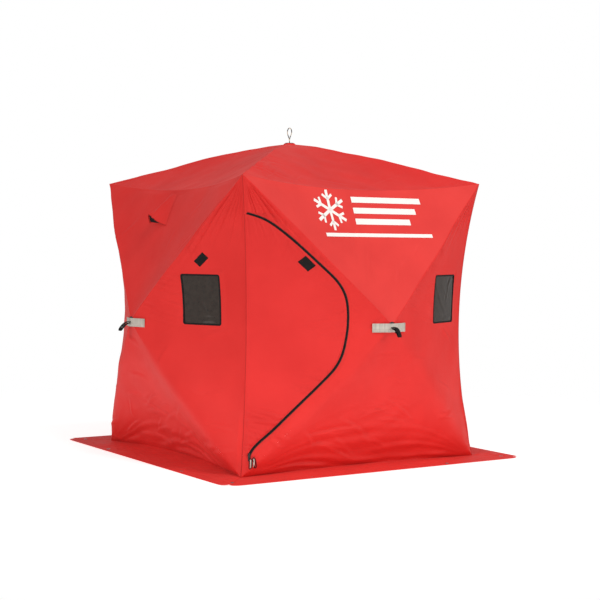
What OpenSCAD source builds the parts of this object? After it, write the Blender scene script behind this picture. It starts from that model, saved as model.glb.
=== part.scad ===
// Pop-up ice fishing hut: four fabric walls and a roof, each pushed out by a hub and four bent poles,
// with a zipped flap door, four windows, two hooded vents and a snow skirt with anchor eyelets.
// The origin is on the ground at the centre, +Z is up, and the door is in the wall that faces -Y.

/* [Walls] */
// half the width of the square that the wall bottoms stand on
base_half = 889; // [860:1:920]
// half the width of the square through the four top corners
top_half = 904; // [880:1:930]
// height of the top corners
wall_h = 1795; // [1740:5:1850]
// how far each wall hub stands out past the wall's bottom line
hub_out = 290; // [240:5:330]
// height of the wall hubs
hub_z = 900; // [860:5:940]
// how far each corner seam curves in at mid height, along both walls
seam_bow = 78; // [50:1:95]
// outward curve of the two upper pole seams of a wall
high_bow = 12; // [6:1:24]
// outward curve of the two lower pole seams of a wall
low_bow = 28; // [10:1:36]
// inward and downward sag of each wall's top edge
top_sag = [78, 65]; // [40:1:100]
// inward curve of each wall's bottom edge
base_sag = 50; // [20:1:70]
// lift of each wall's bottom edge in its middle: front, left, back, right
base_lift = [6, 30, 12, 12]; // [0:1:40]
// thickness of the fabric panels
fabric = 3; // [2:0.5:4]

/* [Roof] */
// height of the roof's middle
roof_h = 2064; // [2020:2:2110]
// upward curve of the roof ridges, highest a third of the way down
roof_bow = 25; // [12:1:34]

/* [Door] */
// width of the strip between the corner seam and the door flap
hinge_strip = 22; // [18:1:30]
// clear gap round the door flap
door_gap = 6; // [5:0.5:8]
// heights of the flap's bottom and top ends
door_z = [165, 1566]; // [120:1:1620]
// a point on the flap's upper edge, across the wall and up
door_upper = [-770, 1540]; // [-860:1:1620]
// how fast the upper edge falls towards the hub
door_fall = 0.858; // [0.7:0.001:1.1]
// a point on the flap's lower edge, across the wall and up
door_lower = [-808, 184]; // [-860:1:300]
// how fast the lower edge rises towards the hub
door_rise = 0.991; // [0.7:0.001:1.1]
// centre of the flap's rounded nose, across the wall and up
nose_at = [-756, 905]; // [-800:1:1000]
// radius of the flap's rounded nose
nose_r = 500; // [440:1:540]
// width of the zipper tape on each side of the gap
tape_w = 12; // [8:1:16]
// thickness of the zipper tape, patches, strips and window bindings
trim = 2; // [1:0.5:3]

/* [Windows and vents] */
// centre of each window, across its wall and up
window_at = [591, 1045]; // [500:1:1100]
// how much nearer the hub the left wall's window is sewn
left_window_in = 58; // [0:1:100]
// half the width and half the height of the clear pane
window_half = [124, 150]; // [90:1:180]
// radius of the window's corners
window_r = 26; // [12:1:50]
// width of the binding round each window
binding_w = 16; // [10:1:24]
// how far the vent hoods stand out at their mouths
vent_out = 46; // [30:1:60]

/* [Frame] */
// diameter of the fibreglass poles
pole_d = 11; // [8:0.5:12]
// diameter of the plastic hubs
hub_d = 84; // [70:1:100]

/* [Skirt] */
// half the width of the square along the skirt's outer edges
skirt_half = 1130; // [1090:5:1160]
// how much of each skirt corner is cut off
skirt_cut = 104; // [60:1:140]
// hole diameter of the anchor eyelets
eyelet_hole = 12; // [10:1:14]
// distance of the eyelets from the skirt's outer edge
eyelet_in = 45; // [35:1:60]
// distance of the side eyelets from the middle of their side
eyelet_across = 520; // [440:10:600]

/* [Hidden] */
$fn = 48;
hub_w = base_half + hub_out;
hub = [0, hub_w, hub_z];
hub_hole = 0.025;
lay = 1;
pole_in = fabric * 1.5 + pole_d / 2 + 1;
hub_deep = fabric + 17;
socket_d = 18;
socket_reach = 70;
pole_start = 30;
red = "#d8322f";
dark_red = "#c42a28";
black = "#1d1d1f";
grey = "#b8b2a6";
fibreglass = "#d8d4c4";
smoke = "#4a4542";
steel = "#a7a9ab";
FRONT = 0;
LEFT = 1;
BACK = 2;
RIGHT = 3;
cord_d = 6;
cord_sides = 10;
cord_route = [
    [0, 0, 2071], [0, 0, 2086], [-4, 0, 2102], [-11, 0, 2118], [-17, 0, 2135], [-17, 0, 2153],
    [-9, 0, 2169], [3, 0, 2173], [14, 0, 2163], [18, 1, 2146], [15, 2, 2130], [9, 4, 2116],
    [5, 6, 2102], [5, 7, 2086], [5, 7, 2071]
];

// Walls are described from outside, with u to the right, w outward from the middle of the hut and z up.
function at(p) = [p[0], -p[1], p[2]];
function arch(t) = 1 - t * t;
function mix(a, b, f) = a + (b - a) * f;
function span(n, a = 0, b = 1) = [for (i = [0:n]) mix(a, b, i / n)];
function unit(v) = v / norm(v);

// Edges of the four panels of a wall, for t from -1 to 1.
function top_edge(t) = [top_half * t, top_half - top_sag[0] * arch(t), wall_h - top_sag[1] * arch(t)];
function bottom_edge(t, k) = [base_half * t, base_half - base_sag * arch(t), base_lift[k] * arch(t)];
function seam_m(t) = mix(base_half, top_half, (t + 1) / 2) - seam_bow * arch(t);
function seam_at(z) = seam_m(2 * z / wall_h - 1);
function fan(edge, s, bow) = mix(hub, edge, s) + [0, 4 * s * (1 - s) * bow, 0];

// How far out the side panels stand, from the place across the wall and the height.
function side_t(u, z) =
    let (r = (z - hub_z) / u, a = r * seam_bow, b = (r * (top_half - base_half) - wall_h) / 2,
         c = r * ((top_half + base_half) / 2 - seam_bow) - wall_h / 2 + hub_z)
    2 * c / (sqrt(b * b - 4 * a * c) - b);
function side_w(u, z) =
    let (t = side_t(abs(u), z), m = seam_m(t), s = abs(u) / m)
    mix(hub_w, m, s) + 4 * s * (1 - s) * mix(low_bow, high_bow, (t + 1) / 2);
function side_point(q, out = 0) = [q[0], side_w(q[0], q[1]) + out, q[1]];

// A point of a sheet with the point behind it. Cloth backs are mitred where panels meet.
function backed(p, into) = [at(p), at(p) + into];
function side_cloth(q) =
    let (t = side_t(abs(q[0]), q[1]), s = abs(q[0]) / seam_m(t))
    backed(side_point(q), fabric * [-s * sign(q[0]), 1, -s * (t + 1) / 2]);
function side_trim(q, out = trim + lay, thick = trim) = backed(side_point(q, out), [0, thick, 0]);

// A seam of a side panel: share s of the way from the hub to the corner, top = 1 or bottom = 0.
function pole_seam(s, top) =
    let (m = top ? top_half : base_half, h = top ? wall_h : 0) [m * s, mix(hub_z, h, s)];
// The same, a little clear of the seam, for a panel that doesn't share its neighbour's points.
function beside_seam(s, top) = let (q = pole_seam(s, top)) [min(q[0] + lay, seam_at(q[1])), q[1]];

// A closed sheet of cloth: each point of its rows comes with the point behind it.
module sheet(rows, ring = false, flip = false) {
    n = len(rows);
    m = len(rows[0]);
    points = [for (side = [0, 1]) for (r = rows) for (p = r) p[side]];
    last = ring ? m - 1 : m - 2;
    far = n * m;
    function id(i, j) = i * m + j % m;
    function quad(a, b, c, d) = flip ? [[a, c, b], [a, d, c]] : [[a, b, c], [a, c, d]];
    body = [for (i = [0:n - 2]) for (j = [0:last]) each concat(
        quad(id(i, j), id(i, j + 1), id(i + 1, j + 1), id(i + 1, j)),
        quad(far + id(i, j), far + id(i + 1, j), far + id(i + 1, j + 1), far + id(i, j + 1)))];
    rims = [for (j = [0:last]) each concat(
        quad(id(0, j), far + id(0, j), far + id(0, j + 1), id(0, j + 1)),
        quad(id(n - 1, j), id(n - 1, j + 1), far + id(n - 1, j + 1), far + id(n - 1, j)))];
    ends = ring ? [] : [for (i = [0:n - 2]) each concat(
        quad(id(i, 0), id(i + 1, 0), far + id(i + 1, 0), far + id(i, 0)),
        quad(id(i, m - 1), far + id(i, m - 1), far + id(i + 1, m - 1), id(i + 1, m - 1)))];
    polyhedron(points, concat(body, rims, ends), convexity = 8);
}
module on_wall(k) { rotate([0, 0, -90 * k]) children(); }

module top_panel(k) {
    color(red) on_wall(k) sheet([for (s = span(7, hub_hole, 1)) [for (t = span(12, -1, 1))
        backed(fan(top_edge(t), s, high_bow), fabric * [-s * t, 1, -s])]], flip = true);
}
module bottom_panel(k) {
    color(red) on_wall(k) sheet([for (s = span(7, hub_hole, 1)) [for (t = span(12, -1, 1))
        backed(fan(bottom_edge(t, k), s, low_bow), fabric * [-s * t, 1, 0])]]);
}
module plain_panel(k) {
    color(red) on_wall(k) sheet([for (s = span(7, hub_hole, 1)) [for (t = span(12, -1, 1))
        let (m = seam_m(t), high = (t + 1) / 2)
        backed(fan([-m, m, wall_h * high], s, mix(low_bow, high_bow, high)), fabric * [s, 1, -s * high])]],
        flip = true);
}

// Rounded outline of a window, grown by some amount: top, right, bottom, then left side.
function corner_round(p, half, r) =
    let (c = [for (i = [0:1]) sign(p[i]) * min(abs(p[i]), half[i] - r)]) c + r * unit(p - c);
function window_centre(k) = window_at - [k == LEFT ? left_window_in : 0, 0];
function window_outline(grow, k) =
    let (h = window_half + [grow, grow], r = window_r + grow, n = 10)
    [for (f = span(n * 4 - 1, 0, 4 - 1 / n))
        let (side = floor(f + 0.0001), g = 2 * (f - side) - 1,
             p = side == 0 ? [g, 1] : side == 1 ? [1, -g] : side == 2 ? [-g, -1] : [-1, g])
        window_centre(k) + corner_round([p[0] * h[0], p[1] * h[1]], h, r)];
function window_border() =
    let (n = 10)
    [for (f = span(n * 4 - 1, 0, 4 - 1 / n))
        let (side = floor(f + 0.0001), g = f - side, t = 1 - 2 * g, m = seam_m(t))
        side == 0 ? beside_seam(mix(hub_hole, 1, g), 1)
        : side == 1 ? [m, wall_h * (t + 1) / 2]
        : side == 2 ? beside_seam(mix(1, hub_hole, g), 0)
        : [seam_m(-t) * hub_hole, mix(hub_z, wall_h * (1 - t) / 2, hub_hole)]];
module window_panel(k) {
    inner = window_outline(0, k);
    outer = window_border();
    color(red) on_wall(k) sheet([for (f = span(4)) [for (i = [0:len(inner) - 1])
        side_cloth(mix(inner[i], outer[i], f))]], ring = true, flip = true);
}
module window_panes() {
    over = 12;
    thick = 1.5;
    color(smoke) for (k = [0:3]) on_wall(k)
        sheet([for (y = span(8, -1, 1)) [for (x = span(8, -1, 1))
            side_trim(window_centre(k) + [x * (window_half[0] + over), y * (window_half[1] + over)],
                -fabric * 1.5 - lay, thick)]]);
}
module window_bindings() {
    color(black) for (k = [0:3]) {
        inner = window_outline(-2, k);
        outer = window_outline(binding_w, k);
        on_wall(k) sheet([for (f = span(1)) [for (i = [0:len(inner) - 1])
            side_trim(mix(inner[i], outer[i], f))]], ring = true, flip = true);
    }
}

// Door flap: left edge beside the corner seam, right edge along the zipper.
function door_left(z, grow) = -(seam_at(z) - hinge_strip - door_gap + grow);
function door_right(z, grow) =
    let (up = door_upper[0] + (door_upper[1] - z + grow * norm([1, door_fall])) / door_fall,
         low = door_lower[0] + (z - door_lower[1] + grow * norm([1, door_rise])) / door_rise,
         r = nose_r + grow, d = z - nose_at[1],
         nose = abs(d) < 0.75 * r ? nose_at[0] + sqrt(r * r - d * d) : 0)
    min(up, low, nose);
function door_heights(grow, n = 30) = span(n, door_z[0] - grow, door_z[1] + grow);
module door_flap() {
    color(dark_red) sheet([for (z = door_heights(0)) [for (f = span(8))
        side_cloth([mix(door_left(z, 0), door_right(z, 0), f), z])]]);
}
// Closed outline of the flap's hole: up beside the seam, then down along the zipper.
function door_outline(grow, n = 24) = concat(
    [for (z = door_heights(grow, n)) [door_left(z, grow), z]],
    [for (z = door_heights(grow, 2 * n)) let (w = door_z[1] + door_z[0] - z) [door_right(w, grow), w]]);
function door_border(n = 24) = concat(
    [for (f = span(n)) [-seam_at(wall_h * f), wall_h * f]],
    [for (f = span(2 * n)) let (upper = 0.46, q = f < upper ? beside_seam(mix(1, hub_hole, f / upper), 1)
        : beside_seam(mix(hub_hole, 1, (f - upper) / (1 - upper)), 0)) [-q[0], q[1]]]);
module door_panel() {
    inner = door_outline(door_gap);
    outer = door_border();
    color(red) sheet([for (f = span(3)) [for (i = [0:len(inner) - 1])
        side_cloth(mix(inner[i], outer[i], f))]], ring = true, flip = true);
}
// A strip along the zipper, from one offset of the flap's edge to another.
module zipper_strip(from, to) {
    color(black) sheet([for (z = span(44, door_z[0] + 4, door_z[1] - 4)) [for (f = [0, 1])
        side_trim([door_right(z, mix(from, to, f)), z])]]);
}
module door_zipper_tape() { zipper_strip(-tape_w, -1); }
module wall_zipper_tape() { zipper_strip(door_gap + 1, door_gap + tape_w); }

// A small tilted patch lying on a side panel.
module patch(centre, half, turn) {
    sheet([for (y = span(2, -1, 1)) [for (x = span(4, -1, 1))
        side_trim(centre + [x * half[0] * cos(turn) - y * half[1] * sin(turn),
                            x * half[0] * sin(turn) + y * half[1] * cos(turn)])]]);
}
module door_patch() { color(black) patch([-514, 1271], [42, 22], -41); }
module wall_patch() { color(black) on_wall(LEFT) patch([554, 1289], [42, 22], 41); }

// Two sliders at the lower end of the zipper: one body, a bar, and two pull tabs that hang from it.
module zipper_sliders() {
    end = [-832, door_z[0] - 34];
    tab = [3, 3, 44];
    lean = -11;
    out = 12;
    color(steel) translate(at(side_point(end, out))) rotate([lean, 0, 0]) {
        cube([9, 8, 26], center = true);
        translate([4, -3, -8]) cube([14, 3, 4], center = true);
        translate([-2, -4, -26]) cube(tab, center = true);
        translate([9, -4, -25]) rotate([0, -14, 0]) cube(tab, center = true);
    }
}

// Vent hood: a cloth scoop whose wide open mouth looks down, over a mesh screen.
function vent_at(x, y, out, thick) =
    let (mouth = [[-222, 1532], [-4, 1502]], top = [[-112, 1708], [-20, 1708]],
         q = mix(mix(mouth[0], mouth[1], x), mix(top[0], top[1], x), y),
         s = (q[1] - hub_z) / (top_edge(q[0] / top_half)[2] - hub_z),
         p = fan(top_edge(q[0] / s / top_half), s, high_bow))
    backed([q[0], p[1] + out, q[1]], [0, thick, 0]);
module vent_hoods() {
    color(red) for (k = [LEFT, RIGHT]) on_wall(k)
        sheet([for (y = span(6)) [for (x = span(8))
            vent_at(x, y, fabric + 1 + vent_out * sin(180 * x) * pow(1 - y, 0.7), fabric)]]);
}
module vent_screens() {
    thick = 1;
    color(black) for (k = [LEFT, RIGHT]) on_wall(k)
        sheet([for (y = span(3, 0.04, 0.7)) [for (x = span(3, 0.12, 0.88))
            vent_at(x, y, 2 * lay + thick, thick)]]);
}

module roof_panel(k) {
    peak = [0, 0, roof_h];
    color(red) on_wall(k) sheet([for (s = span(8, hub_hole, 1)) [for (t = span(12, -1, 1))
        let (p = mix(peak, at(top_edge(t)), s) + [0, 0, roof_bow * 6.75 * s * (1 - s) * (1 - s)])
        [p, p + fabric * [-s * t, s, -1]]]]);
}

module skirt(k) {
    flat_from = 0.45;
    clear = fabric * 0.7;
    color(dark_red) on_wall(k) difference() {
        sheet([for (f = [0, 0.2, flat_from, 0.75, 1]) [for (t = span(12, -1, 1))
            let (e = bottom_edge(t, k), far = skirt_half - skirt_cut / 2 * pow(abs(t), 40),
                 p = mix([e[0], e[1]] * (1 + clear / base_half), [t * far, far], f),
                 lift = f < flat_from ? e[2] * pow(1 - f / flat_from, 2) : 0)
            [[p[0], -p[1], lift + fabric], [p[0], -p[1], lift]]]], flip = true);
        for (a = eyelet_places()) translate([a[0], a[1], -1]) cylinder(d = eyelet_hole + 5, h = 12);
    }
}
// Eyelets: two along each side and one in each corner.
function eyelet_places() =
    let (e = skirt_half - eyelet_in, c = e - 60, a = eyelet_across)
    [[-a, -e], [a, -e], [-e, a], [-e, -a], [a, e], [-a, e], [e, -a], [e, a],
     [-c, -c], [-c, c], [c, c], [c, -c]];
module anchor_eyelets() {
    high = fabric + trim;
    color(steel) for (a = eyelet_places()) translate([a[0], a[1], 0]) difference() {
        union() {
            cylinder(d = eyelet_hole + 4, h = high);
            translate([0, 0, fabric + 0.3]) cylinder(d = eyelet_hole + 14, h = trim - 0.3);
        }
        translate([0, 0, -1]) cylinder(d = eyelet_hole, h = high + 2);
    }
}

// A bent pole from a to b that curves by bow towards the side given.
module bent_pole(a, b, side, bow) {
    length = norm(b - a);
    radius = (length * length / 4 + bow * bow) / (2 * bow);
    half = asin(length / 2 / radius);
    x = unit(b - a);
    y = unit(side - x * (side * x));
    z = cross(x, y);
    multmatrix([[x[0], y[0], z[0], a[0]], [x[1], y[1], z[1], a[1]], [x[2], y[2], z[2], a[2]], [0, 0, 0, 1]])
        translate([length / 2, bow - radius, 0]) rotate([0, 0, 90 - half])
            rotate_extrude(angle = 2 * half, $fn = 96) translate([radius, 0]) circle(d = pole_d, $fn = 16);
}
function inner_corner(top, side = 1) =
    let (m = (top ? top_half : base_half) - pole_in - 16) [side * m, m, top ? wall_h - 32 : 28];
function hub_inner() = hub - [0, hub_deep, 0];
function roof_inner() = [0, 0, roof_h - hub_deep];
// A pole whose ends are pushed into the sockets at a and b.
module pole_between(a, b, side, bow) {
    d = unit(b - a);
    bent_pole(a + d * pole_start, b - d * pole_start, side, bow);
}
module wall_poles() {
    color(fibreglass) for (k = [0:3]) on_wall(k) for (side = [-1, 1]) for (top = [0, 1])
        pole_between(at(hub_inner()), at(inner_corner(top, side)), [0, -1, 0], top ? high_bow : low_bow - 8);
}
module roof_poles() {
    color(fibreglass) for (q = [0:3]) rotate([0, 0, 90 * q])
        pole_between(roof_inner(), inner_corner(1), [0, 0, 1], roof_bow / 2);
}
// Short round socket from a point along a direction.
module socket(from, to) {
    dir = unit(to - from);
    translate(from) rotate([0, acos(dir[2]), atan2(dir[1], dir[0])]) cylinder(d = socket_d, h = socket_reach);
}
// A hub turned from one outline: the boss, the flange behind the cloth, the neck through it and the washer.
module hub_body(washer_r, washer_out) {
    boss = hub_d * 0.3;
    flange = hub_d / 2;
    neck = 17;
    rotate_extrude() polygon([
        [0, -34], [boss, -34], [boss, -28], [flange, -28], [flange, -21], [neck + 3, -13], [neck, -13],
        [neck, -2], [washer_r, -2], [washer_r - 2, washer_out], [0, washer_out]]);
}
module wall_hubs() {
    color(black) for (k = [0:3]) on_wall(k) {
        translate(at(hub)) rotate([90, 0, 0]) hub_body(22, 1.5);
        for (side = [-1, 1]) for (top = [0, 1]) socket(at(hub_inner()), at(inner_corner(top, side)));
    }
}
module roof_hub() {
    color(black) {
        translate([0, 0, roof_h]) hub_body(30, 7);
        for (q = [0:3]) rotate([0, 0, 90 * q]) socket(roof_inner(), inner_corner(1));
    }
}
module corner_sockets(top, z, d, h) {
    c = inner_corner(top);
    side_hub = [hub_inner()[1], 0, hub_z];
    rear_hub = [0, hub_inner()[1], hub_z];
    color(black) for (q = [0:3]) rotate([0, 0, 90 * q]) {
        translate([c[0], c[1], z]) cylinder(d = d, h = h);
        for (to = concat([side_hub, rear_hub], top ? [roof_inner()] : [])) socket(c, to);
    }
}
module top_corner_sockets() { corner_sockets(1, wall_h - 56, 34, 40); }
module bottom_corner_sockets() { corner_sockets(0, 0, 38, 46); }
// A strip bent over each hub: it leans back on both sides and is rounded in the middle.
module reflective_strips() {
    half = 125;
    lean = 0.385;
    round_r = 26;
    color(grey) for (k = [0:3]) on_wall(k)
        sheet([for (z = [hub_z - 42, hub_z + 12]) [for (u = span(16, -half, half))
            backed([u, hub_w + 17 - lean * norm([u, round_r]), z], [0, trim, 0])]]);
}
module pull_loops() {
    r = 32;
    wide = 24;
    color(black) for (k = [0:3]) on_wall(k)
        translate(at([0, hub_w + 7.5 + r, hub_z - 22])) rotate([0, 90, 0]) difference() {
            cylinder(r = r, h = wide, center = true);
            cylinder(r = r - 3, h = wide + 2, center = true);
        }
}

// A round cord through the points of a route.
function heading(p, i) = unit(p[min(i + 1, len(p) - 1)] - p[max(i - 1, 0)]);
module tube(route, d, sides) {
    n = len(route);
    rings = [for (i = [0:n - 1])
        let (x = unit(cross(heading(route, i), [0, 1, 0.001])), y = cross(heading(route, i), x))
        for (j = [0:sides - 1]) route[i] + d / 2 * (x * cos(360 * j / sides) + y * sin(360 * j / sides))];
    side_faces = [for (i = [0:n - 2]) for (j = [0:sides - 1])
        let (a = i * sides + j, b = i * sides + (j + 1) % sides)
        each [[a, b, b + sides], [a, b + sides, a + sides]]];
    polyhedron(rings, concat(side_faces,
        [[for (j = [sides - 1:-1:0]) j]], [[for (j = [0:sides - 1]) (n - 1) * sides + j]]), convexity = 6);
}
module roof_cord_loop() { color(grey) tube(cord_route, cord_d, cord_sides); }

module front_top_panel() { top_panel(FRONT); }
module front_bottom_panel() { bottom_panel(FRONT); }
module front_door_panel() { door_panel(); }
module front_window_panel() { window_panel(FRONT); }
module left_top_panel() { top_panel(LEFT); }
module left_bottom_panel() { bottom_panel(LEFT); }
module left_plain_panel() { plain_panel(LEFT); }
module left_window_panel() { window_panel(LEFT); }
module back_top_panel() { top_panel(BACK); }
module back_bottom_panel() { bottom_panel(BACK); }
module back_plain_panel() { plain_panel(BACK); }
module back_window_panel() { window_panel(BACK); }
module right_top_panel() { top_panel(RIGHT); }
module right_bottom_panel() { bottom_panel(RIGHT); }
module right_plain_panel() { plain_panel(RIGHT); }
module right_window_panel() { window_panel(RIGHT); }
module roof_front_panel() { roof_panel(FRONT); }
module roof_left_panel() { roof_panel(LEFT); }
module roof_back_panel() { roof_panel(BACK); }
module roof_right_panel() { roof_panel(RIGHT); }
module front_skirt() { skirt(FRONT); }
module left_skirt() { skirt(LEFT); }
module back_skirt() { skirt(BACK); }
module right_skirt() { skirt(RIGHT); }

front_top_panel();
front_bottom_panel();
front_door_panel();
front_window_panel();
left_top_panel();
left_bottom_panel();
left_plain_panel();
left_window_panel();
back_top_panel();
back_bottom_panel();
back_plain_panel();
back_window_panel();
right_top_panel();
right_bottom_panel();
right_plain_panel();
right_window_panel();
roof_front_panel();
roof_left_panel();
roof_back_panel();
roof_right_panel();
front_skirt();
left_skirt();
back_skirt();
right_skirt();
door_flap();
door_zipper_tape();
door_patch();
wall_zipper_tape();
zipper_sliders();
wall_patch();
window_panes();
window_bindings();
vent_hoods();
vent_screens();
wall_hubs();
roof_hub();
wall_poles();
roof_poles();
top_corner_sockets();
bottom_corner_sockets();
reflective_strips();
pull_loops();
roof_cord_loop();
anchor_eyelets();
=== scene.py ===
import math

import bpy
import numpy as np
from mathutils import Matrix, Vector


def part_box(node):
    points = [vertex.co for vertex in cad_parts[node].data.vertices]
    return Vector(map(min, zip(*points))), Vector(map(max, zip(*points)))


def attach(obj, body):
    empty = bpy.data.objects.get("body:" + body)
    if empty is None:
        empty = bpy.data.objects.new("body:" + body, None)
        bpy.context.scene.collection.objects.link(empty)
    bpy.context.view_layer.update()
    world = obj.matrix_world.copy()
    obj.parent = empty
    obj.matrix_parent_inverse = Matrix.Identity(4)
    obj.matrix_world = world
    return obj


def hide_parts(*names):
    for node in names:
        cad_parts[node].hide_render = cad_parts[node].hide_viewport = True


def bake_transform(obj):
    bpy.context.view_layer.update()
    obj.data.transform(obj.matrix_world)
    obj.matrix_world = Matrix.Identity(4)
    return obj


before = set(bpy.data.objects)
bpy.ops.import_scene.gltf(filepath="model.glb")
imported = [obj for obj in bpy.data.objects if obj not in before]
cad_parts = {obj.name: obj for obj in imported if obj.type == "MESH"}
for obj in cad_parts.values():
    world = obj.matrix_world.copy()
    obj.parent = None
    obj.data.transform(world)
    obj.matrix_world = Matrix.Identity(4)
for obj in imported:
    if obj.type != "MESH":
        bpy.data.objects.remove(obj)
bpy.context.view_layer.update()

MM = 0.001
HUT = "hut"
WALLS = ("front", "left", "back", "right")

# ---------------- the hut's form, from the frame
BASE_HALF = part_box("front_bottom_panel")[1][0]
TOP_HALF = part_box("front_top_panel")[1][0]
WALL_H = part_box("front_top_panel")[1][2]
# the wall hubs' distance from the middle of the hut, and their height
HUB_W = 1179 * MM
HUB_Z = 900 * MM
ROOF_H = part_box("roof_hub")[1][2] - 7 * MM
# how far the corner seams bow in, and how far the side panels bow between hub and corner, above and below
SEAM_BOW = 78 * MM
HIGH_BOW = 12 * MM
LOW_BOW = 28 * MM
# how far the top edge, the base and the roof panels leave their straight lines at the middle of a wall
TOP_SAG_IN = 78 * MM
TOP_SAG_DOWN = 65 * MM
BASE_SAG = 50 * MM
BASE_LIFT = (6 * MM, 30 * MM, 12 * MM, 12 * MM)
ROOF_BOW = 25 * MM
# share of each panel that is cut away at its hub
HUB_HOLE = 0.02
SKIRT_HALF = 1130 * MM
SKIRT_CUT = 104 * MM

# the windows' middles across each wall; the left wall's is sewn nearer the hub
WINDOW_ACROSS = (591 * MM, 533 * MM, 591 * MM, 591 * MM)
WINDOW_Z = 1045 * MM
WINDOW_HALF = (124 * MM, 150 * MM)


def arch(t):
    return 1 - t * t


def mix(a, b, f):
    return a + (b - a) * f


def ease(low, high, x):
    f = np.clip((x - low) / (high - low), 0, 1)
    return f * f * (3 - 2 * f)


def seam_across(t):
    """How far across a wall its corner seam is, for t from -1 at the ground to 1 at the top."""
    return mix(BASE_HALF, TOP_HALF, (t + 1) / 2) - SEAM_BOW * arch(t)


def seam_at(z):
    return seam_across(2 * z / WALL_H - 1)


def top_edge_z(u):
    return WALL_H - TOP_SAG_DOWN * arch(u / TOP_HALF)


def fan_w(edge_w, s, bow):
    return mix(HUB_W, edge_w, s) + 4 * s * (1 - s) * bow


def wall_out(u, z, k):
    """How far out the cloth of wall k stands at u across (to the right from outside) and z up."""
    u, z = np.broadcast_arrays(np.asarray(u, float), np.asarray(z, float))
    across = np.maximum(np.abs(u), 1e-6)
    rise = z - HUB_Z
    slope = rise / across
    # side triangles
    a = slope * SEAM_BOW
    b = (slope * (TOP_HALF - BASE_HALF) - WALL_H) / 2
    c = slope * ((TOP_HALF + BASE_HALF) / 2 - SEAM_BOW) - WALL_H / 2 + HUB_Z
    t = 2 * c / (np.sqrt(np.maximum(b * b - 4 * a * c, 1e-9)) - b)
    m = seam_across(t)
    side = fan_w(m, across / m, mix(LOW_BOW, HIGH_BOW, (t + 1) / 2))
    # top and bottom triangles
    flat = across / np.maximum(np.abs(rise), 1e-6)
    upper = half_triangle(flat, rise, TOP_HALF, WALL_H - HUB_Z, TOP_SAG_DOWN, TOP_SAG_IN, HIGH_BOW)
    lower = half_triangle(flat, -rise, BASE_HALF, HUB_Z, BASE_LIFT[k], BASE_SAG, LOW_BOW)
    is_top = slope > (WALL_H - HUB_Z) / TOP_HALF
    is_low = slope < -HUB_Z / BASE_HALF
    return np.where(is_top, upper, np.where(is_low, lower, side))


def half_triangle(flat, rise, half, height, sag, sag_in, bow):
    root = np.sqrt(np.maximum(half * half - 4 * flat * flat * sag * (height - sag), 1e-9))
    t = 2 * flat * (height - sag) / (half + root)
    s = rise / (height - sag * arch(t))
    return fan_w(half - sag_in * arch(t), s, bow)


def hut_point(u, w, z, k):
    """Wall coordinates (across, out, up) of wall k as points of the hut."""
    turn = -math.pi / 2 * k
    c, s = math.cos(turn), math.sin(turn)
    u, w, z = np.broadcast_arrays(u, w, z)
    return np.stack([u * c + w * s, u * s - w * c, z], axis=-1)


def gone_along(path):
    """Distance along a path of points, at each point."""
    return np.concatenate([[0], np.cumsum(np.linalg.norm(np.diff(path, axis=0), axis=1))])


def heading(path, closed):
    """The way a path of points runs, at each point."""
    return np.roll(path, -1, axis=0) - np.roll(path, 1, axis=0) if closed else np.gradient(path, axis=0)


def even_steps(path, count):
    """count points at even distances along a path of points."""
    path = np.asarray(path, float)
    along = gone_along(path)
    at = np.linspace(0, along[-1], count)
    return np.stack([np.interp(at, along, path[:, i]) for i in range(path.shape[1])], axis=1)


def smoothed(path, rounds):
    path = np.asarray(path, float).copy()
    for _ in range(rounds):
        path[1:-1] = (path[:-2] + 2 * path[1:-1] + path[2:]) / 4
    return path


# The zipper's run on the front wall, across and up, from its lower end by the corner to its upper end.
ZIPPER_RUN = (
    (-0.839, 0.125), (-0.834, 0.152), (-0.808, 0.182), (-0.705, 0.277), (-0.600, 0.386), (-0.473, 0.511),
    (-0.343, 0.643), (-0.296, 0.725), (-0.262, 0.870), (-0.260, 0.993), (-0.283, 1.094), (-0.337, 1.172),
    (-0.426, 1.254), (-0.503, 1.326), (-0.611, 1.424), (-0.706, 1.500), (-0.768, 1.542), (-0.856, 1.568),
)
ZIPPER = even_steps(smoothed(even_steps(ZIPPER_RUN, 500), 220), 700)
LOW_END, HIGH_END = ZIPPER[0], ZIPPER[-1]


def zipper_across(z):
    """How far across the zipper is at height z, and the corner seam beyond its two ends."""
    on_run = (z >= LOW_END[1]) & (z <= HIGH_END[1])
    return np.where(on_run, np.interp(z, ZIPPER[:, 1], ZIPPER[:, 0]), -seam_at(z))


# ---------------- folds and creases of the cloth
def uneven_wave(x, length, seed, waves=5):
    """An irregular wave along x, from -1 to 1, with crests about a length apart."""
    draw = np.random.default_rng(seed)
    total = 0
    weight = 0
    for _ in range(waves):
        f = 2 * math.pi / length * draw.uniform(0.7, 1.3)
        size = draw.uniform(0.5, 1)
        total = total + size * np.sin(x * f + draw.uniform(0, 6.283))
        weight += size
    return total / weight * 1.5


def soft_waves(x, y, length, seed, waves=12):
    """Irregular waves over a surface, about a length across."""
    draw = np.random.default_rng(seed)
    total = 0
    for _ in range(waves):
        angle = draw.uniform(0, 6.283)
        f = 2 * math.pi / length * draw.uniform(0.5, 1.4)
        total = total + np.sin(f * (x * math.cos(angle) + y * math.sin(angle)) + draw.uniform(0, 6.283))
    return total / math.sqrt(waves)


def crest(wave, sharp=1.4):
    """Turns a wave into narrow crests with wide hollows between them."""
    return np.clip(1 - np.abs(wave), 0, 1) ** sharp


def pleats(x, spacing, seed):
    """Rounded folds about a spacing apart, no two alike, from -1 to 1."""
    drift = 0.30 * uneven_wave(x, 3.1 * spacing, seed)
    size = np.clip(0.62 + 0.55 * uneven_wave(x, 2.3 * spacing, seed + 7), 0.12, 1.2)
    return np.sin(2 * math.pi * (x / spacing + drift)) * size


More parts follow.
